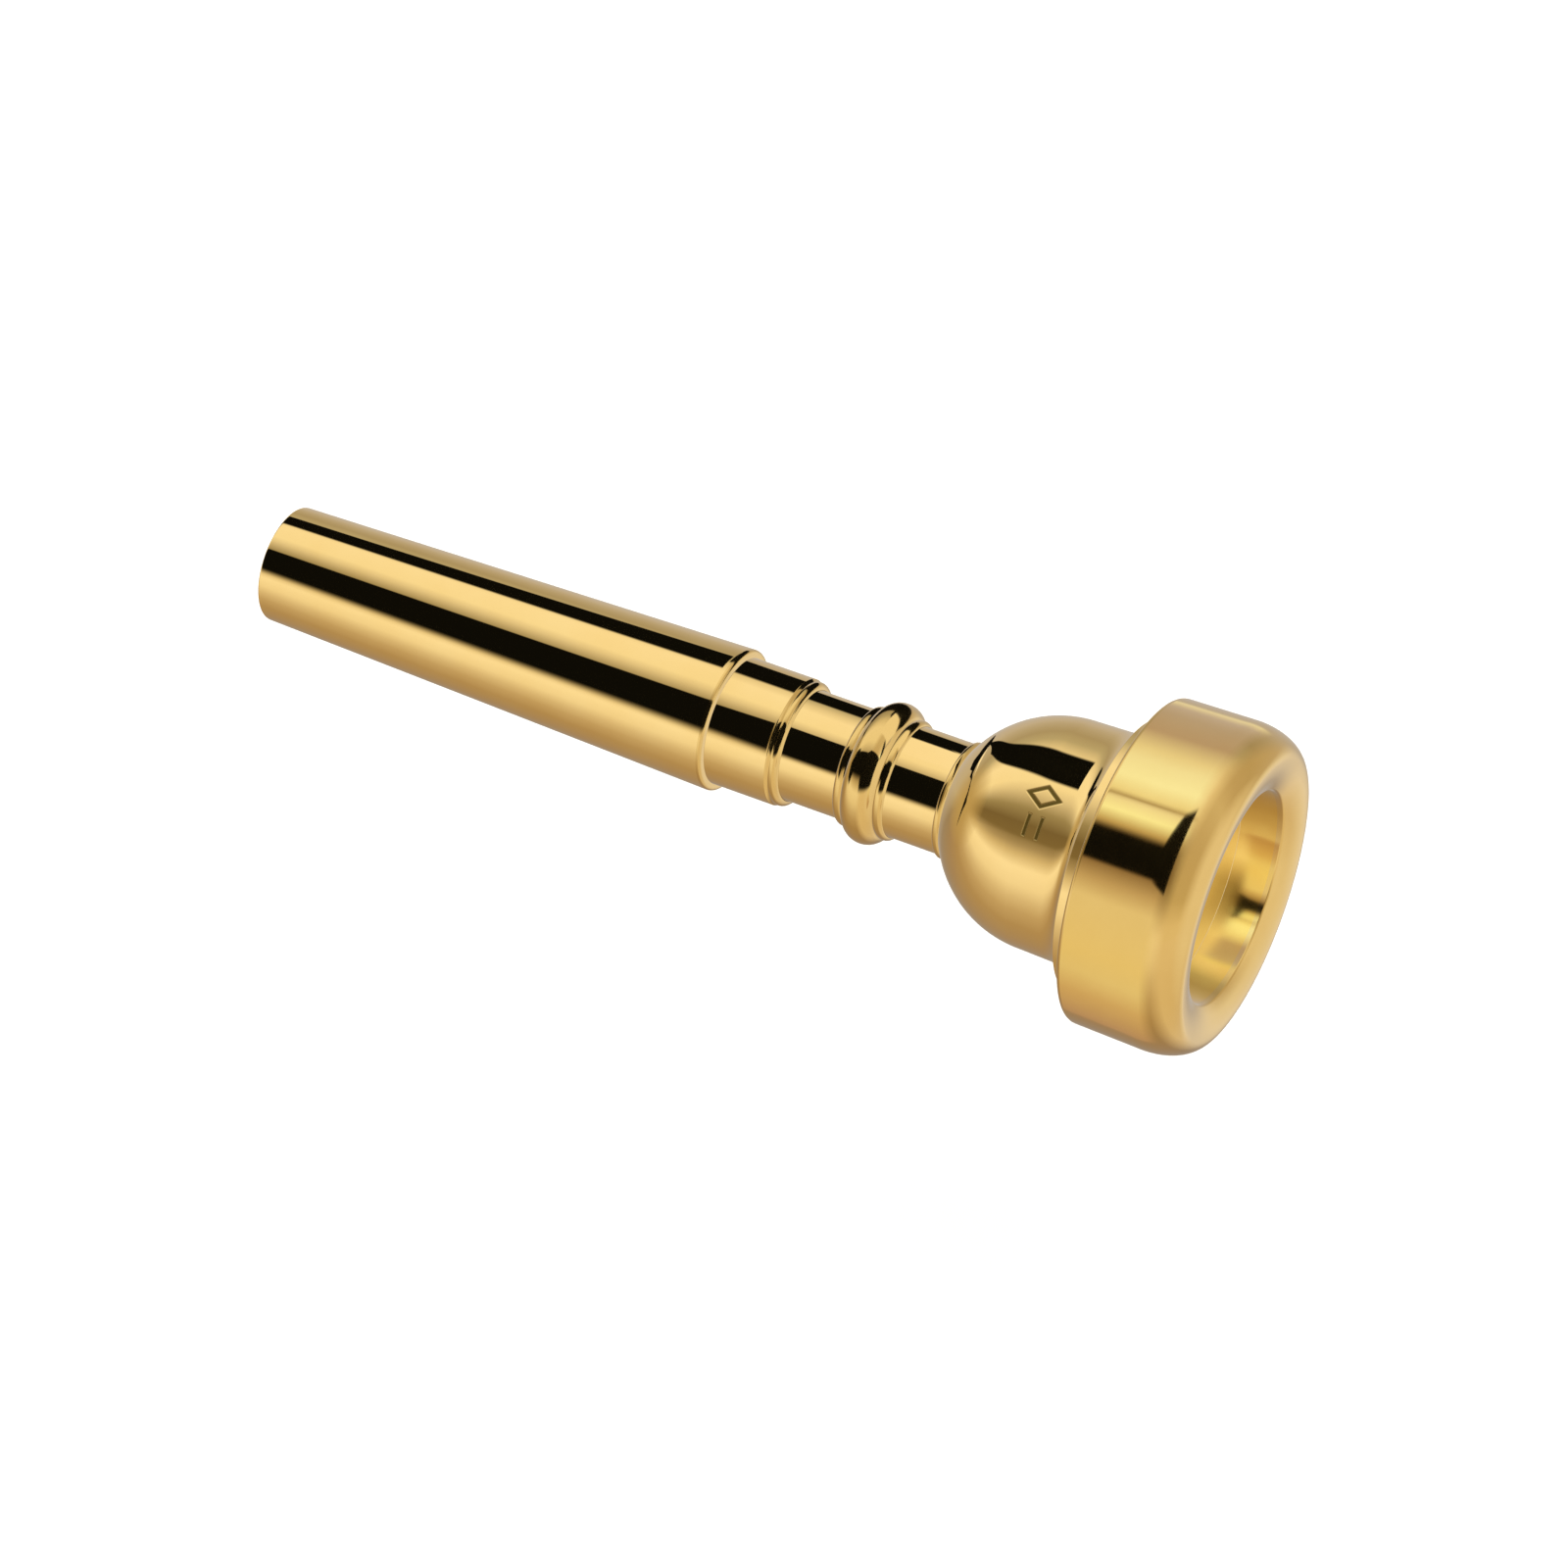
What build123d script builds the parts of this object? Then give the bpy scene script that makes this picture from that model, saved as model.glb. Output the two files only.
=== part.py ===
# A trumpet mouthpiece in gold-plated brass, made as the take-apart kind: a screw rim on a cup, the cup
# screwed on a stem, and the stem in a tapered shank sleeve, with a rubber seal ring in each screw joint.
#
# Frame: millimetres. +X runs along the bore from the tip of the shank to the rim, +Z is up, and the
# origin is the centre of the shank's end face. Every piece is turned about the X axis.
import os
from math import asin, degrees, sqrt

from build123d import *

# shank: the outer taper that goes into the instrument
shank_length = 42.35
tip_radius = 4.95
taper = 0.025  # radius gained per length: 1 in 20 on the diameter
tip_edge = 0.2
shoulder_edge = 0.35

# stem: two cylindrical steps, a bead between two small rings, a thin neck and a base ring
neck_radius = 5.37
neck_length = 5.5
neck_edge = 0.08
waist_radius = 4.65
waist_length = 5.85
step_ring_width = 0.94
step_ring_height = 0.6
side_ring_width = 0.9
side_ring_height = 0.4
bead_width = 2.9
bead_height = 1.28
ring_overlap = 0.14  # how far each small ring runs into the foot of the bead
stem_neck_length = 5.03
base_ring_width = 0.6
base_ring_stand = 0.1  # the base ring stands this much outside the cup's foot

# spigot of the stem inside the shank sleeve
spigot_length = 24.3
spigot_wall = 0.71  # at its thin end

# cup: a round bulb, a nearly straight barrel and a flare under the rim
bulb_length = 8.35
cup_radius = 9.5
cup_lip = 0.54  # the cup's foot stands this much outside its socket
barrel_length = 2.75
barrel_rise = 0.08
flare_length = 2.05
flange_length = 1.3
seat_land = 0.8  # width of the ring on which the rim seats

# rim
rim_length = 10.0
rim_wall = 4.65  # from the bowl's edge to the outside
rim_swell = 0.15  # the outside grows this much towards the face
rear_edge = 0.6
face_round = 3.8
bite_width = 2.8  # from the bowl's edge to the crown of the face
bite_depth = 1.0
bite_edge = 0.3  # rounding between the face and the bowl

# air way: backbore, throat and bowl
tip_bore_radius = 4.25
backbore_power = 1.4
throat_radius = 1.83
throat_round = 0.9
bowl_radius = 8.85
bowl_depth = 11.2

# screw joints: M8 x 1 at the foot of the cup, about M21 x 1 under the rim
pitch = 1.0
thread_turns = 3.0
thread_depth = 0.55
thread_root = 0.78  # width of the ridge at its root and at its crest, for 60 degree flanks
thread_crest = 0.145
ridge_sink = 0.12  # the ridge starts this far inside the metal that it stands on
stem_thread_radius = 4.0
rim_thread_wall = 1.65  # from the bowl's edge to the crest of the rim's thread
thread_margin = 0.3  # plain metal on each side of a thread
nose_length = 1.05

# seal rings
seal_section = 0.8
groove_width = 1.0
groove_wall = 0.45  # the wall that keeps the stem's seal ring in its groove
seal_over_thread = 0.23  # the stem's seal ring stands this much outside the thread

# fits
running = 0.03  # radial gap of a sliding or sealing fit
thread_gap = 0.08  # radial gap of a thread
seat_gap = 0.02  # gap between faces that meet
nose_gap = 0.1  # the ends of the spigots stay clear of the bottoms of their sockets
half_turn = 180  # a socket's ridge lies half a pitch from its spigot's ridge
cutter_over = 1.0  # a groove's cutter reaches this far outside the metal

# stations along the axis
neck_end = shank_length + neck_length
waist_end = neck_end + waist_length
first_ring = waist_end + side_ring_width / 2
bead_middle = waist_end + side_ring_width - ring_overlap + bead_width / 2
last_ring = bead_middle + bead_width / 2 - ring_overlap + side_ring_width / 2
base_ring = last_ring + side_ring_width / 2 + stem_neck_length - base_ring_width / 2
cup_start = base_ring + base_ring_width / 2
bulb_end = cup_start + bulb_length
barrel_end = bulb_end + barrel_length
flare_end = barrel_end + flare_length
rim_seat = flare_end + flange_length
face = rim_seat + rim_length
bite_end = face - bite_depth

# one screw joint, measured from its seat: seal groove, thread and nose
thread_length = thread_turns * pitch + thread_root
groove_margin = groove_width / 2 + thread_margin
stem_seal_at = cup_start + groove_margin
stem_thread_at = cup_start + 2 * groove_margin + groove_wall
stem_nose_end = stem_thread_at + thread_length + thread_margin + nose_length
rim_thread_at = rim_seat + thread_margin
rim_seal_at = rim_thread_at + thread_length + groove_margin
rim_nose_end = rim_seal_at + groove_margin

# radii that follow from the ones above
shank_radius = tip_radius + taper * shank_length
stem_seal_radius = stem_thread_radius + seal_over_thread
socket_mouth = stem_seal_radius + running
rim_thread_radius = bowl_radius + rim_thread_wall
rim_seal_radius = rim_thread_radius - thread_depth + thread_gap - running
flange_radius = rim_thread_radius + seat_land
rim_radius = bowl_radius + rim_wall
front_radius = rim_radius + rim_swell
crown_radius = bowl_radius + bite_width
foot_radius = socket_mouth + cup_lip
base_ring_height = foot_radius + base_ring_stand - waist_radius


def backbore_radius(x):
    """The backbore narrows from the tip to the throat along a power curve."""
    return tip_bore_radius - (tip_bore_radius - throat_radius) * (x / stem_nose_end) ** backbore_power


spigot_radius = backbore_radius(shank_length - spigot_length) + spigot_wall
sleeve_bore = spigot_radius + running


def bowl_radius_at(x):
    """The bowl is a quarter ellipse that is widest at the bite."""
    return bowl_radius * sqrt(1 - ((bite_end - x) / bowl_depth) ** 2)


def turned(*lines):
    """Revolve the closed outline that the lines make, in the X and radius plane, about the X axis."""
    return revolve(make_face(Curve() + list(lines)), axis=Axis.X)


def tube(start, end, outer, inner=0.0):
    """A plain turned tube or disc between two stations."""
    corners = [(start, inner), (end, inner), (end, outer), (start, outer)]
    return turned(Polyline(*corners, close=True))


def half_round(middle, foot, width, height):
    """A raised ring of half-elliptical section standing on a cylinder of radius foot."""
    section = Pos(middle, foot) * Ellipse(width / 2, height)
    return revolve(section, axis=Axis.X)


def backbore(start, end):
    """A plug with the shape of the backbore between two stations."""
    stations = [start + (end - start) * i / 6 for i in range(7)]
    wall = Spline(*[(x, backbore_radius(x)) for x in stations])
    rest = Polyline(wall @ 1, (end, 0), (start, 0), wall @ 0)
    return turned(wall, rest)


def thread(start, foot, crest, turn=0):
    """A helical ridge from foot to crest, inwards or outwards, turned about X by an angle."""
    outwards = 1 if crest > foot else -1
    sunk = foot - outwards * ridge_sink
    half_root = thread_root / 2
    half_crest = thread_crest / 2
    corners = [(sunk, -half_root), (crest, -half_crest), (crest, half_crest), (sunk, half_root)]
    section = Plane.XZ * make_face(Polyline(*corners, close=True))
    ridge = sweep(section, path=Helix(pitch, thread_turns * pitch, foot), is_frenet=True)
    return Pos(start + half_root, 0, 0) * Rot(turn, 0, 0) * Rot(0, 90, 0) * ridge


def seal(middle, outer_radius):
    """A round rubber ring in its groove."""
    return Pos(middle, 0, 0) * Rot(0, 90, 0) * Torus(outer_radius - seal_section / 2, seal_section / 2)


def groove(middle, outer_radius):
    """The square groove that holds a seal ring."""
    floor = outer_radius - seal_section - running
    half = groove_width / 2
    return tube(middle - half, middle + half, outer_radius + cutter_over, floor)


def circles_at(piece, x, radius):
    """The circular edges of a turned piece at one station and radius."""
    close = 1e-3
    found = piece.edges().filter_by(GeomType.CIRCLE)
    return [e for e in found if abs(e.arc_center.X - x) < close and abs(e.radius - radius) < close]


def make_shank_sleeve():
    """The tapered sleeve: shank outside, backbore at the tip, straight bore for the stem's spigot."""
    socket_end = shank_length - spigot_length - nose_gap
    outline = Polyline((0, 0), (0, tip_radius), (shank_length, shank_radius), (shank_length, 0), close=True)
    sleeve = turned(outline)
    sleeve = fillet(circles_at(sleeve, 0, tip_radius), tip_edge)
    sleeve = fillet(circles_at(sleeve, shank_length, shank_radius), shoulder_edge)
    sleeve -= tube(socket_end, shank_length, sleeve_bore)
    return sleeve - backbore(0, socket_end)


def make_stem():
    """The stem: spigot, stepped neck, bead, base ring, and the threaded spigot for the cup."""
    spigot_start = shank_length - spigot_length
    neck_start = shank_length + seat_gap
    core = stem_thread_radius - thread_depth
    stem = tube(spigot_start, neck_start, spigot_radius)
    neck = tube(neck_start, neck_end, neck_radius)
    stem += fillet(circles_at(neck, neck_end, neck_radius), neck_edge)
    stem += tube(neck_end, cup_start - seat_gap, waist_radius)
    stem += half_round(neck_end + step_ring_width / 2, waist_radius, step_ring_width, step_ring_height)
    stem += half_round(first_ring, waist_radius, side_ring_width, side_ring_height)
    stem += half_round(bead_middle, waist_radius, bead_width, bead_height)
    stem += half_round(last_ring, waist_radius, side_ring_width, side_ring_height)
    middle = base_ring - seat_gap
    stem += half_round(middle, waist_radius, base_ring_width, base_ring_height)
    land_end = stem_thread_at - thread_margin
    stem += tube(cup_start - seat_gap, land_end, stem_seal_radius - running)
    stem += tube(land_end, stem_nose_end, core)
    stem -= groove(stem_seal_at, stem_seal_radius)
    stem += thread(stem_thread_at, core, stem_thread_radius)
    return stem - backbore(spigot_start, stem_nose_end)


def make_cup():
    """The cup: threaded socket, bulb, barrel and flare outside, bowl inside, threaded spigot for the rim."""
    rise = cup_radius - foot_radius
    bulb_arc = (bulb_length**2 + rise**2) / (2 * rise)
    barrel_radius = cup_radius + barrel_rise
    middle = bulb_length / 2
    crown = cup_radius - bulb_arc + sqrt(bulb_arc**2 - (bulb_length - middle) ** 2)
    bulb = ThreePointArc((cup_start, foot_radius), (cup_start + middle, crown), (bulb_end, cup_radius))
    barrel = Line(bulb @ 1, (barrel_end, barrel_radius))
    flare = EllipticalCenterArc(
        (barrel_end, flange_radius), flare_length, flange_radius - barrel_radius, start_angle=270, arc_size=90
    )
    rest = Polyline(
        flare @ 1, (rim_seat - seat_gap, flange_radius), (rim_seat - seat_gap, 0), (cup_start, 0), bulb @ 0
    )
    cup = turned(bulb, barrel, flare, rest)
    core = rim_thread_radius - thread_depth
    cup += tube(rim_seat - seat_gap, rim_nose_end, core - running)
    cup -= groove(rim_seal_at, rim_seal_radius)
    cup += thread(rim_thread_at, core - running, rim_thread_radius)
    # the socket for the stem
    socket_end = stem_nose_end + nose_gap
    threaded_from = stem_thread_at - thread_margin / 2
    threaded_to = stem_thread_at + thread_length + thread_margin
    bore = stem_thread_radius + thread_gap
    cup -= tube(cup_start, threaded_from, socket_mouth)
    cup -= tube(threaded_from, threaded_to, bore)
    cup -= tube(threaded_to, socket_end, bore - thread_depth)
    cup += thread(stem_thread_at, bore, bore - thread_depth, half_turn)
    # the throat and the bowl
    bowl_bottom = bite_end - bowl_depth * sqrt(1 - (throat_radius / bowl_radius) ** 2)
    cup -= tube(socket_end, bowl_bottom, throat_radius)
    cup -= bowl(bowl_bottom, rim_nose_end)
    return fillet(circles_at(cup, bowl_bottom, throat_radius), throat_round)


def bowl(start, end):
    """A plug with the shape of the bowl between two stations."""
    stations = [start + (end - start) * (i / 8) ** 2 for i in range(9)]
    wall = Spline(*[(x, bowl_radius_at(x)) for x in stations])
    rest = Polyline(wall @ 1, (end, 0), (start, 0), wall @ 0)
    return turned(wall, rest)


def make_rim():
    """The screw rim: rounded face and bite, swelling outside, threaded socket behind."""
    swell_end = face - face_round
    outer = EllipticalCenterArc(
        (swell_end, crown_radius), face_round, front_radius - crown_radius, start_angle=0, arc_size=90
    )
    # the face is an arc that is level at the crown and runs smoothly into the edge's smaller arc
    reach = bite_width - bite_edge
    face_arc = (bite_depth**2 + reach**2 - bite_edge**2) / (2 * (bite_depth - bite_edge))
    turn = degrees(asin(reach / (face_arc - bite_edge)))
    inner = CenterArc((face - face_arc, crown_radius), face_arc, 0, -turn)
    edge = CenterArc((bite_end, bowl_radius + bite_edge), bite_edge, -turn, turn - 90)
    rest = Polyline((swell_end, front_radius), (rim_seat, rim_radius), (rim_seat, 0), (bite_end, 0), edge @ 1)
    rim = turned(outer, inner, edge, rest)
    rim = fillet(circles_at(rim, rim_seat, rim_radius), rear_edge)
    bore = rim_thread_radius + thread_gap
    threaded_to = rim_thread_at + thread_length + thread_margin / 2
    socket_end = rim_nose_end + seat_gap
    rim -= tube(rim_seat, threaded_to, bore)
    rim -= tube(threaded_to, socket_end, rim_seal_radius + running)
    rim -= bowl(socket_end, bite_end)
    return rim + thread(rim_thread_at, bore, bore - thread_depth, half_turn)


pieces = {
    "shank_sleeve": make_shank_sleeve(),
    "stem": make_stem(),
    "stem_seal": seal(stem_seal_at, stem_seal_radius),
    "cup": make_cup(),
    "rim_seal": seal(rim_seal_at, rim_seal_radius),
    "rim": make_rim(),
}

os.makedirs("parts", exist_ok=True)
for name, piece in pieces.items():
    solids = piece.solids()
    export_step(solids[0] if len(solids) == 1 else Compound(solids), f"parts/{name}.step")
print(f"length {face:.2f} mm, rim {2 * front_radius:.2f} mm across, {len(pieces)} pieces")
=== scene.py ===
# A take-apart trumpet mouthpiece in gold plate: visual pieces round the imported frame.
# Lengths in the dictionaries are in millimetres along +X from the shank's tip, or radii about that axis.
from math import cos, pi, radians, sin

import bpy
import numpy as np
from mathutils import Matrix, Vector


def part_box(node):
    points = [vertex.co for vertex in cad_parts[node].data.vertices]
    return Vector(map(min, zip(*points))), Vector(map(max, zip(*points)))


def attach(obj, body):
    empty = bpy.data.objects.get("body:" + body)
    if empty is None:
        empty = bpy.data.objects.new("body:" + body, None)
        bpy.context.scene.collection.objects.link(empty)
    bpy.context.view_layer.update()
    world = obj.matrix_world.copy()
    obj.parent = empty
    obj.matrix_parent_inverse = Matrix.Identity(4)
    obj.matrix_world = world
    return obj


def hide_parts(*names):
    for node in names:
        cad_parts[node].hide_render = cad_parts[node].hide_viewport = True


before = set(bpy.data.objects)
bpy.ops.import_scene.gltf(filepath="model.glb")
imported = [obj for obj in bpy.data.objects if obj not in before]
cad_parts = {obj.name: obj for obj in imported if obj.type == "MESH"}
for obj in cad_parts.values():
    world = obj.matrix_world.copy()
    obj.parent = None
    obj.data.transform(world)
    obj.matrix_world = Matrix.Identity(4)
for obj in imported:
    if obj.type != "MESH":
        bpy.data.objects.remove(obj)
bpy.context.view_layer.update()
mm = 0.001
seatGap = 0.02  # mm between faces that meet
noseGap = 0.1  # mm left at the bottom of a socket

# the third finish, for the bowl, is satin plate tinted deeper: painted bounce light that stands in for the
# bowl mirrored in itself
polished, satin, satinBounceTint = 0, 1, 2  # finishes, in the order of a piece's material slots
smooth, maleThread, femaleThread, engraved = 0, 1, 2, 3  # what relief a stretch carries


def stretch(x, r, edge=0.0, finish=polished, relief=smooth):
    # rows of station, radius, edge rounding, finish and relief
    return np.stack([np.atleast_1d(v) for v in np.broadcast_arrays(x, r, edge, finish, relief)], axis=1)


def softened(outline, steps=6):
    # each corner that has an edge rounding becomes a quadratic curve from one tangent point to the other:
    # (1-t)^2 start + 2t(1-t) corner + t^2 end, where start and end lie rounding * tan(turn / 2) away
    corner = outline[:, :2]
    before = corner - np.roll(corner, 1, axis=0)
    after = np.roll(corner, -1, axis=0) - corner
    room = np.minimum(np.linalg.norm(before, axis=1), np.linalg.norm(after, axis=1))
    before /= np.linalg.norm(before, axis=1, keepdims=True)
    after /= np.linalg.norm(after, axis=1, keepdims=True)
    turn = np.arccos(np.clip((before * after).sum(axis=1), -1, 1))
    reach = np.minimum(outline[:, 2] * np.tan(turn / 2), 0.45 * room)[:, None]
    t = np.linspace(0, 1, steps + 1)[:, None, None]
    start, end = corner - before * reach, corner + after * reach
    curve = (1 - t) ** 2 * start + 2 * t * (1 - t) * corner + t**2 * end
    rest = np.broadcast_to(outline[:, 3:], (steps + 1,) + outline[:, 3:].shape)
    rows = np.concatenate([curve, rest], axis=2).transpose(1, 0, 2)
    keep = np.ones(rows.shape[:2], bool)
    keep[outline[:, 2] == 0, 1:] = False
    return rows[keep]


def ridge(x, angle, thread, start):
    # a 60 degree thread: the distance from the middle of the ridge, along X, falls from crest to root;
    # the middle of a right-hand ridge lies at start + pitch * angle / turn, and the ridge fades at its ends
    pitch = thread["pitch"]
    middle = start + thread["root"] / 2
    phase = (x - middle) / pitch - (angle + pi / 2) / (2 * pi)
    away = np.abs((phase + 0.5) % 1.0 - 0.5) * pitch
    height = np.clip((thread["root"] / 2 - away) / (thread["root"] / 2 - thread["crest"] / 2), 0, 1)
    ends = np.clip((x - start) / thread["fade"], 0, 1)
    ends = ends * np.clip((start + thread["turns"] * pitch + thread["root"] - x) / thread["fade"], 0, 1)
    return thread["depth"] * height * ends


def columnsFor(count, focus=None, halfWidth=0.0, gain=1.0):
    # angles round the axis, closer together by gain within halfWidth of focus
    even = np.linspace(0, 2 * pi, 4001)
    density = np.ones_like(even)
    if focus is not None:
        density += (gain - 1) * (np.abs(even - focus) < halfWidth)
    spent = np.concatenate([[0], np.cumsum((density[1:] + density[:-1]) / 2)])
    return np.interp(np.arange(count) / count, spent / spent[-1], even)


def turnedPiece(name, outline, columns, materials, reliefOf=None):
    # the closed outline carried round the X axis: (x, r cos a, r sin a), with r raised or cut by the relief
    rows = softened(outline)
    x, angle = np.meshgrid(rows[:, 0], columns, indexing="ij")
    r = np.repeat(rows[:, 1:2], len(columns), axis=1)
    cut = np.zeros_like(r)
    if reliefOf is not None:
        r, cut = reliefOf(x, r, angle, rows[:, 3:4])
    points = np.stack([x, r * np.cos(angle), r * np.sin(angle)], axis=2) * mm
    n, m = x.shape
    index = np.arange(n * m).reshape(n, m)
    across = np.roll(index, -1, axis=1)
    quads = np.stack([index, across, np.roll(across, -1, axis=0), np.roll(index, -1, axis=0)], axis=2)
    mesh = bpy.data.meshes.new(name)
    mesh.from_pydata(points.reshape(-1, 3), [], quads.reshape(-1, 4))
    along = np.roll(points, -1, axis=0) - np.roll(points, 1, axis=0)
    around = np.roll(points, -1, axis=1) - np.roll(points, 1, axis=1)
    normals = np.cross(around, along).reshape(-1, 3)
    normals /= np.maximum(np.linalg.norm(normals, axis=1, keepdims=True), 1e-12)
    for material in materials:
        mesh.materials.append(material)
    finish = np.minimum(rows[:, 2], np.roll(rows[:, 2], -1))  # the plainer of two finishes where they meet
    mesh.polygons.foreach_set("material_index", np.repeat(finish.astype(np.int32), m))
    mesh.shade_smooth()
    mesh.normals_split_custom_set_from_vertices(normals)
    mark = mesh.attributes.new("engraving", "FLOAT", "POINT")
    mark.data.foreach_set("value", cut.ravel().astype(np.float32))
    piece = bpy.data.objects.new(name, mesh)
    bpy.context.scene.collection.objects.link(piece)
    return piece


def fromHex(code):
    # sRGB hex to linear red, green, blue and alpha
    channels = [int(code[i : i + 2], 16) / 255 for i in (1, 3, 5)]
    return [c / 12.92 if c <= 0.04045 else ((c + 0.055) / 1.055) ** 2.4 for c in channels] + [1.0]


def addNode(tree, kind, settings=None, values=None, links=None):
    # settings are the node's own properties, values its sockets' constants, links the sockets that feed it
    node = tree.nodes.new(kind)
    for key, value in (settings or {}).items():
        setattr(node, key, value)
    for key, value in (values or {}).items():
        node.inputs[key].default_value = value
    for key, source in (links or {}).items():
        tree.links.new(source, node.inputs[key])
    return node


def newMaterial(name):
    material = bpy.data.materials.new(name)
    material.use_nodes = True
    tree = material.node_tree
    tree.nodes.clear()
    return material, tree


goldPlate = {
    "bright": "#FFDE96",
    "deep": "#FAD486",
    "satin": "#F2CE82",
    "satinDeep": "#EAC375",
    "bowl": "#FFDC7A",  # deeper, as light bounces twice in the bowl
    "bowlDeep": "#F2BE5C",
    "engraving": "#7A6630",
    "engravingRoughness": 0.5,  # added to the plate's own
    "latheLine": 0.06,  # mm between the marks that the lathe leaves
    "handling": 5.0,  # mm across a patch of haze
}


def goldFinish(name, bright, deep, roughest, smoothest, lineHeight):
    # gold plate on turned brass, polished or left satin: warm and bright; the lathe's rings show as
    # faint lines round the axis, and handling leaves a slight haze in patches
    material, tree = newMaterial(name)
    place = addNode(tree, "ShaderNodeTexCoord").outputs["Object"]
    perLine = 1 / (goldPlate["latheLine"] * mm)
    rings = addNode(
        tree,
        "ShaderNodeMapping",
        values={"Scale": (perLine, perLine * 0.01, perLine * 0.01)},  # fine along X, drawn out round it
        links={"Vector": place},
    )
    lines = addNode(
        tree,
        "ShaderNodeTexNoise",
        values={"Scale": 1.0, "Detail": 2.0},
        links={"Vector": rings.outputs["Vector"]},
    )
    patches = addNode(
        tree,
        "ShaderNodeTexNoise",
        values={"Scale": 1 / (goldPlate["handling"] * mm), "Detail": 4.0, "Roughness": 0.6},
        links={"Vector": place},
    )
    haze = addNode(
        tree,
        "ShaderNodeMapRange",
        values={"From Min": 0.35, "From Max": 0.7, "To Min": smoothest, "To Max": roughest},
        links={"Value": patches.outputs["Fac"]},
    )
    tint = addNode(
        tree,
        "ShaderNodeMix",
        settings={"data_type": "RGBA"},
        values={"A": fromHex(bright), "B": fromHex(deep)},
        links={"Factor": patches.outputs["Fac"]},
    )
    cut = addNode(tree, "ShaderNodeAttribute", settings={"attribute_name": "engraving"}).outputs["Fac"]
    colour = addNode(
        tree,
        "ShaderNodeMix",
        settings={"data_type": "RGBA"},
        values={"B": fromHex(goldPlate["engraving"])},
        links={"Factor": cut, "A": tint.outputs["Result"]},
    )
    rough = addNode(
        tree,
        "ShaderNodeMath",
        settings={"operation": "MULTIPLY_ADD", "use_clamp": True},
        values={1: goldPlate["engravingRoughness"]},
        links={0: cut, 2: haze.outputs["Result"]},
    )
    bump = addNode(
        tree,
        "ShaderNodeBump",
        values={"Strength": 0.5, "Distance": lineHeight * mm},
        links={"Height": lines.outputs["Fac"]},
    )
    shader = addNode(
        tree,
        "ShaderNodeBsdfPrincipled",
        values={"Metallic": 1.0},
        links={
            "Base Color": colour.outputs["Result"],
            "Roughness": rough.outputs["Value"],
            "Normal": bump.outputs["Normal"],
        },
    )
    addNode(tree, "ShaderNodeOutputMaterial", links={"Surface": shader.outputs["BSDF"]})
    return material


sealRubber = {
    "dark": "#161616",
    "light": "#262422",
    "grain": 0.12,  # mm across a grain
    "grainHeight": 0.01,
    "roughness": 0.55,
}


def nitrileRubber():
    # moulded nitrile: near black, dull, with a fine grain and a soft sheen where the light grazes it
    material, tree = newMaterial("nitrileRubber")
    place = addNode(tree, "ShaderNodeTexCoord").outputs["Object"]
    grain = addNode(
        tree,
        "ShaderNodeTexNoise",
        values={"Scale": 1 / (sealRubber["grain"] * mm), "Detail": 3.0},
        links={"Vector": place},
    )
    tone = addNode(
        tree,
        "ShaderNodeMix",
        settings={"data_type": "RGBA"},
        values={"A": fromHex(sealRubber["dark"]), "B": fromHex(sealRubber["light"])},
        links={"Factor": grain.outputs["Fac"]},
    )
    bump = addNode(
        tree,
        "ShaderNodeBump",
        values={"Strength": 0.4, "Distance": sealRubber["grainHeight"] * mm},
        links={"Height": grain.outputs["Fac"]},
    )
    shader = addNode(
        tree,
        "ShaderNodeBsdfPrincipled",
        values={"Roughness": sealRubber["roughness"]},
        links={"Base Color": tone.outputs["Result"], "Normal": bump.outputs["Normal"]},
    )
    addNode(tree, "ShaderNodeOutputMaterial", links={"Surface": shader.outputs["BSDF"]})
    return material


# roughest, smoothest, and the height of a lathe line in mm
mirrorGold = goldFinish("mirrorGoldPlate", goldPlate["bright"], goldPlate["deep"], 0.06, 0.03, 0.0003)
satinGold = goldFinish("satinGoldPlate", goldPlate["satin"], goldPlate["satinDeep"], 0.15, 0.08, 0.0008)
# the bowl's plate: a rougher satin, and a deeper tint that is painted bounce light
bowlGold = goldFinish("bowlGoldPlate", goldPlate["bowl"], goldPlate["bowlDeep"], 0.14, 0.1, 0.0005)
rubber = nitrileRubber()
print("materials made")


airway = {
    "tip": 4.25,
    "throat": 1.83,
    "power": 1.4,
    "bowl": 8.85,
    "bowlDepth": 11.2,
    "biteDepth": 1.0,  # from the face to the edge of the bowl
}
thread = {
    "pitch": 1.0,
    "turns": 3.0,
    "depth": 0.55,
    "root": 0.78,  # width of the ridge at its root and at its crest
    "crest": 0.145,
    "fade": 0.5,  # a ridge rises over this length at its ends
    "margin": 0.3,  # plain metal beside a thread
    "edge": 0.04,  # rounding of the corners inside a screw joint
}
threadLength = thread["turns"] * thread["pitch"] + thread["root"]


def reach(node, axis=0):
    # lowest and highest coordinate of a CAD node, in mm
    low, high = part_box(node)
    return low[axis] / mm, high[axis] / mm


sleeveStart, sleeveEnd = reach("shank_sleeve")
stemStart, stemEnd = reach("stem")
cupStart, cupEnd = reach("cup")
rimSeat, face = reach("rim")
biteEnd = face - airway["biteDepth"]


def backboreAt(x):
    # tip - (tip - throat) * (x / stemEnd) ^ power
    return airway["tip"] - (airway["tip"] - airway["throat"]) * (x / stemEnd) ** airway["power"]


def bowlAt(x):
    # a quarter ellipse, widest at the bite
    return airway["bowl"] * np.sqrt(1 - ((biteEnd - x) / airway["bowlDepth"]) ** 2)


def threadStations(start, backwards=False):
    stations = np.linspace(start, start + threadLength, int(threadLength / thread["pitch"] * 12))
    return stations[::-1] if backwards else stations


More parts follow.
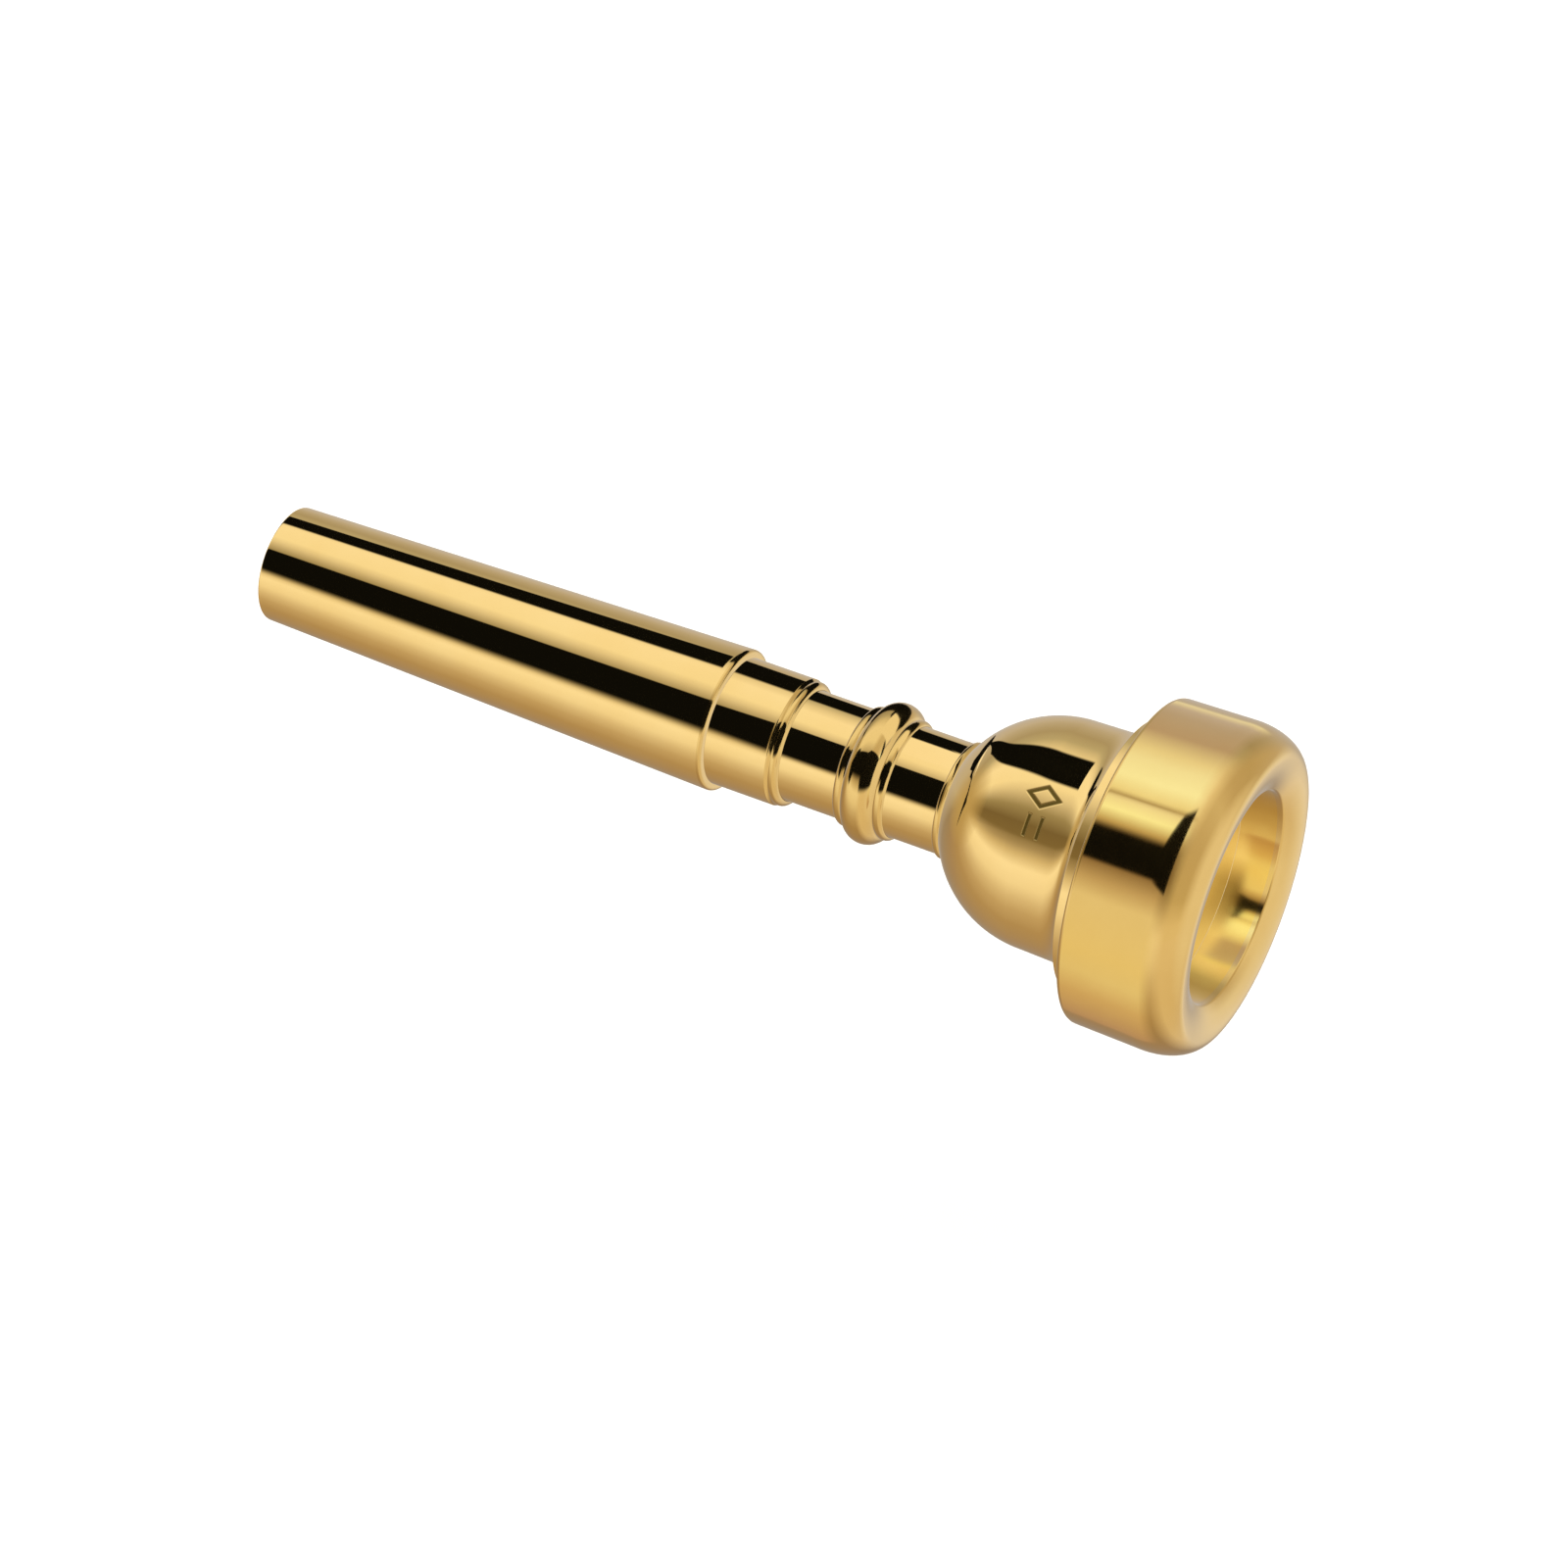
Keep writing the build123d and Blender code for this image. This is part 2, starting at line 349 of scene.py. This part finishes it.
sleeve = {
    "tip": 4.95,
    "tipEdge": 0.2,
    "shoulder": 6.009,
    "shoulderEdge": 0.35,
    "bore": 4.626,
    "boreEdge": 0.06,
}


def makeSleeve():
    # straight taper outside, backbore curve at the tip, plain bore behind
    bottom = stemStart - noseGap
    inner = np.linspace(bottom, sleeveStart, 14)
    outline = np.vstack(
        [
            stretch(sleeveStart, sleeve["tip"], sleeve["tipEdge"]),
            stretch(sleeveEnd, sleeve["shoulder"], sleeve["shoulderEdge"], satin),
            stretch([sleeveEnd, bottom], sleeve["bore"], sleeve["boreEdge"], satin),
            stretch(inner, backboreAt(inner)),
        ]
    )
    return turnedPiece("shankSleeve", outline, columnsFor(256), [mirrorGold, satinGold])


stem = {
    "spigot": 4.596,
    "spigotEdges": (0.1, 0.03),
    "neck": 5.37,
    "neckEdges": (0.05, 0.08),
    "neckEnd": 47.85,
    "waist": 4.65,
    "waistEnd": 53.7,
    "stepRing": (48.32, 0.47, 0.6),  # middle, half width and height above the waist
    "rings": [(54.15, 0.45, 0.4), (55.91, 1.45, 1.28), (57.67, 0.45, 0.4)],
    "baseRing": (62.83, 0.3, 0.25),
    "land": 4.2,
    "groove": (0.3, 1.3),  # start and end, from the cup's foot
    "grooveFloor": 3.4,
    "core": 3.45,
    "threadFrom": 2.05,  # from the cup's foot
}


def halfRounds(rings, steps=16):
    # the highest of several half ellipses: height * sqrt(1 - ((x - middle) / half width)^2)
    middle, half, height = (np.array(v)[:, None] for v in zip(*rings))
    x = np.unique((middle + half * np.cos(np.linspace(0, pi, steps + 1))).round(5))
    heights = height * np.sqrt(np.clip(1 - ((x - middle) / half) ** 2, 0, None))
    return x, heights.max(axis=0)


stemThreadAt = cupStart + stem["threadFrom"]
rimThreadAt = rimSeat + thread["margin"]


def stemRelief(x, r, angle, relief):
    return r + (relief == maleThread) * ridge(x, angle, thread, stemThreadAt), np.zeros_like(r)


def makeStem():
    # neck, bead and rings outside; seal groove and thread on the nose; backbore inside
    waist = stem["waist"]
    neckStart = sleeveEnd + seatGap
    seat = cupStart - seatGap
    grooveStart, grooveEnd = (cupStart + away for away in stem["groove"])
    stepX, stepHeight = halfRounds([stem["stepRing"]])
    clear = stepX > stem["neckEnd"] + 0.2  # without the ring's steep start, which lies against the neck
    ringX, ringHeight = halfRounds(stem["rings"])
    baseX, baseHeight = halfRounds([stem["baseRing"]])
    inner = np.linspace(stemEnd, stemStart, 20)
    outline = np.vstack(
        [
            stretch([stemStart, neckStart], stem["spigot"], stem["spigotEdges"]),
            stretch([neckStart, stem["neckEnd"]], stem["neck"], stem["neckEdges"], [polished, satin]),
            stretch(stepX[clear], waist + stepHeight[clear], 0, satin),
            stretch(stem["waistEnd"] - 0.02, waist, 0.02),
            stretch(ringX, waist + ringHeight, 0, satin),
            stretch(baseX[0] - 0.02, waist, 0.02),
            stretch(baseX, waist + baseHeight, 0, satin),
            stretch(seat, [waist - 0.1, stem["land"]], [0, 0.03]),
            stretch([grooveStart] * 2, [stem["land"], stem["grooveFloor"]], thread["edge"]),
            stretch([grooveEnd] * 2, [stem["grooveFloor"], stem["land"]], thread["edge"]),
            stretch([stemThreadAt - thread["margin"]] * 2, [stem["land"], stem["core"]], thread["edge"]),
            stretch(threadStations(stemThreadAt), stem["core"], 0, polished, maleThread),
            stretch(stemEnd, stem["core"], 0.15),
            stretch(inner, backboreAt(inner)),
        ]
    )
    return turnedPiece("stem", outline, columnsFor(240), [mirrorGold, satinGold], stemRelief)


cup = {
    "foot": 4.8,
    "bulbEnd": 71.5,
    "radius": 9.5,
    "barrelEnd": 74.25,
    "barrel": 9.58,
    "flareEnd": 76.3,
    "flange": 11.3,
    "core": 9.92,
    "groove": (0.3, 1.3),  # start and end, from the end of the thread
    "grooveFloor": 9.17,
    "mouth": 4.26,
    "bore": 4.08,
    "throatRound": 0.9,
    "markFrom": 70.4,
    "markTo": 73.9,
    "markAngle": 127.0,  # degrees from +Y towards +Z
    "markDepth": 0.04,
    "columns": 285,
}


def markShape(x, around):
    # how deep the engraved mark is, 0 to 1, by the distance in mm from its lines: a lozenge where
    # |x| / 1.5 + |around| is constant, and beside it two short bars at equal distances from the middle
    line, slope = 0.2, 0.09
    lozenge = np.abs(np.abs(x) / 1.5 + np.abs(around + 1.15) - 0.85) * 0.83
    bars = np.maximum(np.abs(np.abs(x) - 0.55), np.abs(around - 1.35) - 0.75)
    return np.clip((line - np.minimum(lozenge, bars)) / slope, 0, 1)


def cupRelief(x, r, angle, relief):
    male = (relief == maleThread) * ridge(x, angle, thread, rimThreadAt)
    female = (relief == femaleThread) * ridge(x, angle + pi, thread, stemThreadAt)
    middle = (cup["markFrom"] + cup["markTo"]) / 2
    around = (angle - radians(cup["markAngle"])) * r
    mark = (relief == engraved) * markShape(x - middle, around)
    return r + male - female - cup["markDepth"] * mark, mark


def makeCup():
    # bulb arc, barrel and flare outside; seal groove and thread for the rim; bowl, throat and socket inside
    rise = cup["radius"] - cup["foot"]
    length = cup["bulbEnd"] - cupStart
    arc = (length**2 + rise**2) / (2 * rise)

    def outsideAt(x):
        # a circular arc that levels out at the bulb's end, then the barrel's slight taper
        bulb = cup["radius"] - arc + np.sqrt(arc**2 - np.clip(cup["bulbEnd"] - x, 0, None) ** 2)
        along = np.clip((x - cup["bulbEnd"]) / (cup["barrelEnd"] - cup["bulbEnd"]), 0, 1)
        return bulb + (cup["barrel"] - cup["radius"]) * along

    # the flare is a quarter ellipse that leaves the barrel along the axis
    quarter = np.linspace(0, pi / 2, 16)[:-1]
    flareX = cup["barrelEnd"] + (cup["flareEnd"] - cup["barrelEnd"]) * np.sin(quarter)
    flareR = cup["flange"] - (cup["flange"] - cup["barrel"]) * np.cos(quarter)
    foot = np.linspace(cupStart, cup["markFrom"], 20)[:-1]
    marked = np.linspace(cup["markFrom"], cup["markTo"], 64)
    seat = rimSeat - seatGap
    threadEnd = rimThreadAt + threadLength
    grooveStart, grooveEnd = (threadEnd + away for away in cup["groove"])
    bottom = biteEnd - airway["bowlDepth"] * np.sqrt(1 - (airway["throat"] / airway["bowl"]) ** 2)
    bowl = bottom + (cupEnd - bottom) * np.linspace(1, 0, 28) ** 2
    socketEnd = stemEnd + noseGap
    threadedTo = stemThreadAt + threadLength + thread["margin"]
    threadedFrom = stemThreadAt - thread["margin"] / 2
    outline = np.vstack(
        [
            stretch(foot, outsideAt(foot), [0.06] + [0] * 18),
            stretch(marked, outsideAt(marked), 0, polished, engraved),
            stretch(flareX, flareR),
            stretch([cup["flareEnd"], seat], cup["flange"], [0.1, 0.06]),
            stretch(seat, cup["core"], thread["edge"]),
            stretch(threadStations(rimThreadAt), cup["core"], 0, polished, maleThread),
            stretch([grooveStart] * 2, [cup["core"], cup["grooveFloor"]], thread["edge"]),
            stretch([grooveEnd] * 2, [cup["grooveFloor"], cup["core"]], thread["edge"]),
            stretch(cupEnd, cup["core"], 0.06),
            # the cup's part of the bowl, in the deeper tint of painted bounce light
            stretch(bowl[:-1], bowlAt(bowl[:-1]), [0.02] + [0] * 26, satinBounceTint),
            stretch(bottom, airway["throat"], cup["throatRound"]),
            stretch([socketEnd] * 2, [airway["throat"], cup["bore"] - thread["depth"]], 0.05),
            stretch([threadedTo] * 2, [cup["bore"] - thread["depth"], cup["bore"]], 0.05),
            stretch(threadStations(stemThreadAt, True), cup["bore"], 0, polished, femaleThread),
            stretch([threadedFrom] * 2, [cup["bore"], cup["mouth"]], thread["edge"]),
            stretch(cupStart, cup["mouth"], 0.05),
        ]
    )
    columns = columnsFor(cup["columns"], radians(cup["markAngle"]), halfWidth=radians(15), gain=5.0)
    return turnedPiece("cup", outline, columns, [mirrorGold, satinGold, bowlGold], cupRelief)


rim = {
    "rear": 13.5,
    "rearEdge": 0.6,
    "front": 13.65,
    "faceRound": 3.8,
    "biteWidth": 2.8,
    "biteEdge": 0.3,
    "bore": 10.58,
    "seal": 10.03,
}


def rimRelief(x, r, angle, relief):
    return r - (relief == femaleThread) * ridge(x, angle + pi, thread, rimThreadAt), np.zeros_like(r)


def makeRim():
    # elliptical quarter outside the crown; inside it a wide arc and a small one, tangent to each other, make
    # the face and the bite; swelling outside, threaded socket behind, bowl inside
    quarter = np.linspace(pi / 2, 0, 22)
    bite = airway["bowl"]
    crown = bite + rim["biteWidth"]
    swellEnd = face - rim["faceRound"]
    outX = swellEnd + rim["faceRound"] * np.cos(quarter)
    outR = crown + (rim["front"] - crown) * np.sin(quarter)
    width, edge = rim["biteWidth"] - rim["biteEdge"], rim["biteEdge"]
    arc = (airway["biteDepth"] ** 2 + width**2 - edge**2) / (2 * (airway["biteDepth"] - edge))
    end = np.arcsin(width / (arc - edge))
    faceTurn = np.linspace(0, end, 24)[1:]
    edgeTurn = np.linspace(end, pi / 2, 10)[1:]
    swellX = np.linspace(rimSeat + 1, swellEnd, 8)[:-1]
    swellR = rim["rear"] + (rim["front"] - rim["rear"]) * (swellX - rimSeat) / (swellEnd - rimSeat)
    socketEnd = cupEnd + seatGap
    bowl = np.linspace(biteEnd, socketEnd, 10)[1:]
    threadedTo = rimThreadAt + threadLength + thread["margin"] / 2
    outline = np.vstack(
        [
            stretch(rimSeat, rim["rear"], rim["rearEdge"], satin),
            stretch(swellX, swellR, 0, satin),
            stretch(outX, outR, 0, satin),
            stretch(face - arc + arc * np.cos(faceTurn), crown - arc * np.sin(faceTurn), 0, satin),
            stretch(biteEnd + edge * np.cos(edgeTurn), bite + edge * (1 - np.sin(edgeTurn)), 0, satin),
            # the rim's part of the bowl, in the deeper tint of painted bounce light
            stretch(bowl, bowlAt(bowl), [0] * 8 + [0.02], satinBounceTint),
            stretch([socketEnd, threadedTo], rim["seal"], thread["edge"]),
            stretch(threadedTo, rim["bore"], thread["edge"]),
            stretch(threadStations(rimThreadAt, True), rim["bore"], 0, polished, femaleThread),
            stretch(rimSeat, rim["bore"], 0.1, satin),
        ]
    )
    return turnedPiece("rim", outline, columnsFor(320), [mirrorGold, satinGold, bowlGold], rimRelief)


def makeSeal(name, node):
    # a torus: a circle of half the section's height, carried round the axis
    low, high = reach(node)
    outer = reach(node, 1)[1]
    half = (high - low) / 2
    turn = np.linspace(pi, -pi, 33)[:-1]
    outline = stretch((low + high) / 2 + half * np.cos(turn), outer - half + half * np.sin(turn))
    return turnedPiece(name, outline, columnsFor(160), [rubber])


pieces = {
    "shank_sleeve": makeSleeve(),
    "stem": makeStem(),
    "stem_seal": makeSeal("stemSeal", "stem_seal"),
    "cup": makeCup(),
    "rim_seal": makeSeal("rimSeal", "rim_seal"),
    "rim": makeRim(),
}
for node, piece in pieces.items():
    piece.visible_glossy = False  # pieces mirrored in one another would only show as orange rings
    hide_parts(node)
    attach(piece, node)
print("pieces made")


# what the rim's satin sees round it: angle, colour and strength of the light
satinLights = [
    (42, "#F4F8E8", 1.0),
    (50, "#CCCCE4", 1.0),
    (60, "#C4C2D8", 1.0),
    (76, "#C4BCCC", 1.0),
    (88, "#F4FCFF", 1.05),
    (94, "#E4F4FF", 1.35),
    (103, "#E0F4FF", 1.5),
    (110, "#F8FFF4", 1.05),
    (112, "#B0A490", 1.0),
    (113, "#F4FCFF", 1.1),
    (118, "#ECFFF8", 1.35),
    (123, "#D0C4A4", 1.0),
    (127, "#8A745C", 1.0),
    (138, "#8A745C", 1.0),
    (146, "#D0C4B4", 1.0),
    (153, "#F2F0E4", 1.0),
    (176, "#F6F2D8", 1.0),
    (187, "#F2F0DC", 1.0),
    (200, "#DECEB6", 1.0),
    (221, "#C2AA98", 1.0),
]

# the dark stripe on the cup: where it runs, and for its two edges the last angle, the rise and its power
cupStripe = {"from": 55.0, "to": 74.1, "edges": [(92.0, 72.0, 2.7), (109.0, 49.0, 2.3)], "rows": 39}


def bulbStripe():
    # each edge climbs steeply round the bulb and levels out: last - rise * (way left / whole way) ^ power
    x = np.linspace(cupStripe["from"], cupStripe["to"], cupStripe["rows"])
    left = (cupStripe["to"] - x) / (cupStripe["to"] - cupStripe["from"])
    return np.stack([x] + [last - rise * left**power for last, rise, power in cupStripe["edges"]], axis=1)


studio = {
    "floorDrop": 45.0,  # mm from the axis down to the floor
    "floorSize": 6000.0,
    "floorColour": "#F4F2EE",
    "floorLight": 2.6,
    "floorLightSpread": 120.0,  # degrees, so that it casts no hard shadow
    # what the metal sees of the room beside it: angle round X, from +Y up over the top, and light there
    "room": [
        (-180, "#FFFFFF"),
        (-165, "#F6F4F0"),
        (-150, "#DCD4CA"),
        (-135, "#C6B8A6"),
        (-115, "#B4A28A"),
        (-85, "#A8988A"),
        (-60, "#A0968E"),
        (-40, "#C4C0BC"),
        (-10, "#C4C2C6"),
        (20, "#AEAAA4"),
        (35, "#BCBCB8"),
        (50, "#E8E6E2"),
        (65, "#FFFFFF"),
        (92, "#FCFCF8"),
        (102, "#E6E4E0"),
        (111, "#C6C2BC"),
        (120, "#A09A88"),
        (135, "#7A6E56"),
        (147, "#80745A"),
        (157, "#B0A696"),
        (165, "#D8D0C0"),
        (177, "#FFFFFF"),
    ],
    # the room in front of the face, straight ahead and straight behind: the directions' X where each begins
    # and where it is whole, and its light by angle
    "otherParts": [
        (
            0.05,
            0.35,
            [
                (-180, "#EEE6DA"),
                (-110, "#E6DCCE"),
                (-70, "#E4DCD4"),
                (-50, "#F2F2F6"),
                (-30, "#F2F4FA"),
                (-10, "#CEC6BC"),
                (30, "#C8BEAC"),
                (55, "#CEC4B4"),
                (75, "#DED8CC"),
                (110, "#D0C6B4"),
                (150, "#D0C6AE"),
                (170, "#ECE4D4"),
            ],
        ),
        (0.65, 0.92, [(-180, "#F2F0F0"), (180, "#F2F0F0")]),
        (-0.9, -0.995, [(-180, "#BEAE8C"), (180, "#BEAE8C")]),
    ],
    "cardColour": "#0E0F10",
    # cards curved round the axis: radius, softness of the two edges, rows of station and both angles; and
    # where they aren't plain black all over, how much of each row covers and the lights by angle
    "cards": [
        # first dark stripe: over the sleeve, then the neck, then the waist and the bead
        {"radius": 7.2, "soft": (1, 3), "rows": [(-60, 68, 81), (0, 68, 83), (41, 69, 88)]},
        {"radius": 7.2, "soft": (1, 4), "rows": [(41.1, 47, 77), (47.0, 47, 77)]},
        {
            "radius": 7.2,
            "soft": (2, 4),
            "rows": [(47.1, 32, 62), (52.8, 32, 62), (56.2, 40, 64), (61.8, 40, 64)],
        },
        # second, wider dark stripe: over the sleeve and the neck, then the waist and the bead
        {"radius": 7.2, "soft": (1, 9), "rows": [(-60, 127, 152), (41, 125, 149), (47.0, 123, 150)]},
        {
            "radius": 7.2,
            "soft": (1, 8),
            "rows": [
                (47.1, 118, 154),
                (53.2, 118, 154),
                (53.6, 122, 142),
                (56.0, 122, 142),
                (56.4, 119, 154),
                (61.8, 119, 154),
            ],
        },
        # white card that hides the cup's dark stripe from the thin neck
        {
            "radius": 7.1,
            "soft": (3, 3),
            "rows": [(56.2, 70, 98), (61.6, 70, 98)],
            "lights": [(0, "#FFFFFF", 1.0)],
        },
        # dark stripe that bends round the cup's bulb
        {
            "radius": 10.2,
            "soft": (2, 2),
            "rows": bulbStripe(),
        },
        # dark patch and lights round the rim
        {
            "radius": 16.0,
            "soft": (4, 2),
            "rows": [(75.9, 127, 138), (83.0, 127, 138), (84.0, 114, 140), (85.2, 110, 142)],
        },
        {
            "radius": 16.2,
            "soft": (4, 4),
            "rows": [(75.9, 42, 221), (84.3, 42, 221), (86.0, 42, 221)],
            "covers": (1, 1, 0),
            "lights": satinLights,
        },
    ],
}


def makeFloor():
    # neither the floor nor its soft light shows in the metal, which sees only the room and the cards
    size = studio["floorSize"] / 2
    x, y = np.meshgrid(np.linspace(-size, size, 3), np.linspace(-size, size, 3), indexing="ij")
    points = np.stack([x, y, np.full_like(x, -studio["floorDrop"])], axis=2) * mm
    index = np.arange(9).reshape(3, 3)
    quads = np.stack([index[:-1, :-1], index[1:, :-1], index[1:, 1:], index[:-1, 1:]], axis=2)
    mesh = bpy.data.meshes.new("floor")
    mesh.from_pydata(points.reshape(-1, 3), [], quads.reshape(-1, 4))
    material, tree = newMaterial("paleFloor")
    shader = addNode(
        tree,
        "ShaderNodeBsdfPrincipled",
        values={"Base Color": fromHex(studio["floorColour"]), "Roughness": 0.9, "Specular IOR Level": 0.0},
    )
    addNode(tree, "ShaderNodeOutputMaterial", links={"Surface": shader.outputs["BSDF"]})
    mesh.materials.append(material)
    floor = bpy.data.objects.new("floor", mesh)
    floor.visible_glossy = False
    bpy.context.scene.collection.objects.link(floor)
    sun = bpy.data.objects.new("floorLight", bpy.data.lights.new("floorLight", "SUN"))
    sun.data.energy = studio["floorLight"]
    sun.data.angle = radians(studio["floorLightSpread"])
    sun.visible_glossy = False
    bpy.context.scene.collection.objects.link(sun)


def lightByAngle(tree, place, stops):
    # stops of angle and light along a place from 0 to 1 that stands for a whole turn
    ramp = addNode(tree, "ShaderNodeValToRGB", links={"Fac": place})
    elements = ramp.color_ramp.elements
    for number, (degrees, light) in enumerate(stops):
        position = (degrees + 180) / 360
        stop = elements[number] if number < 2 else elements.new(position)
        stop.position = position
        stop.color = fromHex(light)
    return ramp.outputs["Color"]


def makeRoom():
    # light from far away, by the angle round the X axis and by how far it comes from in front or behind;
    # the camera itself sees plain white
    world = bpy.data.worlds.new("studio")
    world.use_nodes = True
    bpy.context.scene.world = world
    tree = world.node_tree
    tree.nodes.clear()
    direction = addNode(tree, "ShaderNodeTexCoord").outputs["Generated"]
    parts = addNode(tree, "ShaderNodeSeparateXYZ", links={"Vector": direction})
    angle = addNode(
        tree,
        "ShaderNodeMath",
        settings={"operation": "ARCTAN2"},
        links={0: parts.outputs["Z"], 1: parts.outputs["Y"]},
    )
    place = addNode(
        tree,
        "ShaderNodeMapRange",
        values={"From Min": -pi, "From Max": pi},
        links={"Value": angle.outputs["Value"]},
    ).outputs["Result"]
    light = lightByAngle(tree, place, studio["room"])
    for begins, whole, stops in studio["otherParts"]:
        amount = addNode(
            tree,
            "ShaderNodeMapRange",
            values={"From Min": begins, "From Max": whole},
            links={"Value": parts.outputs["X"]},
        )
        both = addNode(
            tree,
            "ShaderNodeMix",
            settings={"data_type": "RGBA"},
            links={"Factor": amount.outputs["Result"], "A": light, "B": lightByAngle(tree, place, stops)},
        )
        light = both.outputs["Result"]
    room = addNode(tree, "ShaderNodeBackground", links={"Color": light})
    plain = addNode(tree, "ShaderNodeBackground", values={"Color": fromHex("#FFFFFF")})
    seen = addNode(tree, "ShaderNodeLightPath").outputs["Is Camera Ray"]
    surround = addNode(
        tree,
        "ShaderNodeMixShader",
        links={0: seen, 1: room.outputs["Background"], 2: plain.outputs["Background"]},
    )
    addNode(tree, "ShaderNodeOutputWorld", links={"Surface": surround.outputs["Shader"]})


def cardPaper():
    # card that gives off its own light: how much, and where it covers, comes from the mesh
    material, tree = newMaterial("cardPaper")
    cover = addNode(tree, "ShaderNodeAttribute", settings={"attribute_name": "cover"}).outputs["Fac"]
    light = addNode(tree, "ShaderNodeAttribute", settings={"attribute_name": "light"}).outputs["Color"]
    paper = addNode(tree, "ShaderNodeEmission", values={"Strength": 1.0}, links={"Color": light})
    clear = addNode(tree, "ShaderNodeBsdfTransparent")
    card = addNode(
        tree, "ShaderNodeMixShader", links={0: cover, 1: clear.outputs["BSDF"], 2: paper.outputs["Emission"]}
    )
    addNode(tree, "ShaderNodeOutputMaterial", links={"Surface": card.outputs["Shader"]})
    return material


def makeCard(name, card, material):
    # part of a cylinder: (x, R cos a, R sin a), with cover rising from 0 to 1 across each soft edge
    stations, start, end = np.array(card["rows"], dtype=float).T
    softStart, softEnd = card["soft"]
    start, end = start - softStart, end + softEnd
    t = np.linspace(0, 1, 181)
    x = np.repeat(stations[:, None], t.size, axis=1)
    turn = start[:, None] + (end - start)[:, None] * t
    angle = np.radians(turn)
    points = np.stack([x, card["radius"] * np.cos(angle), card["radius"] * np.sin(angle)], axis=2)
    cover = np.minimum((turn - start[:, None]) / softStart, (end[:, None] - turn) / softEnd).clip(0, 1)
    covers = np.array(card.get("covers", (1,) * len(stations)))
    cover = cover**2 * (3 - 2 * cover) * covers[:, None]
    angles, colours, strengths = zip(*card.get("lights", [(0, studio["cardColour"], 1.0)]))
    shades = np.array([fromHex(c) for c in colours]) * np.array(strengths)[:, None]
    light = np.stack([np.interp(turn.ravel(), angles, shade) for shade in shades.T], axis=1)
    index = np.arange(x.size).reshape(x.shape)
    quads = np.stack([index[:-1, :-1], index[1:, :-1], index[1:, 1:], index[:-1, 1:]], axis=2)
    mesh = bpy.data.meshes.new(name)
    mesh.from_pydata(points.reshape(-1, 3) * mm, [], quads.reshape(-1, 4))
    covering = mesh.attributes.new("cover", "FLOAT", "POINT")
    covering.data.foreach_set("value", cover.ravel().astype(np.float32))
    shining = mesh.attributes.new("light", "FLOAT_COLOR", "POINT")
    shining.data.foreach_set("color", light.ravel().astype(np.float32))
    mesh.materials.append(material)
    piece = bpy.data.objects.new(name, mesh)
    for sight in ("camera", "diffuse", "shadow", "transmission", "volume_scatter"):
        setattr(piece, "visible_" + sight, False)
    bpy.context.scene.collection.objects.link(piece)


def makeCards():
    paper = cardPaper()
    for number, card in enumerate(studio["cards"]):
        makeCard(f"card{number + 1}", card, paper)


camera = {
    "azimuth": 28.0,  # degrees, where 0 looks along +Y
    "elevation": 42.07,
    "distance": 434,
    "middle": (46.14, 1.31, -6.29),
    "lens": 122.24,
}


def makeCamera():
    # the camera sits back from a point near the middle of the piece
    azimuth, elevation = radians(camera["azimuth"]), radians(camera["elevation"])
    middle = Vector(camera["middle"]) * mm
    back = Vector((sin(azimuth) * cos(elevation), -cos(azimuth) * cos(elevation), sin(elevation)))
    right = Vector((0, 0, 1)).cross(back).normalized()
    turn = Matrix((right, back.cross(right), back)).transposed()
    data = bpy.data.cameras.new("camera")
    data.lens = camera["lens"]
    data.clip_start = 0.01
    viewer = bpy.data.objects.new("camera", data)
    viewer.matrix_world = Matrix.Translation(middle + back * camera["distance"] * mm) @ turn.to_4x4()
    bpy.context.scene.collection.objects.link(viewer)
    bpy.context.scene.camera = viewer


makeFloor()
makeRoom()
makeCards()
makeCamera()
bpy.context.scene.view_settings.view_transform = "Standard"
print("stage set")
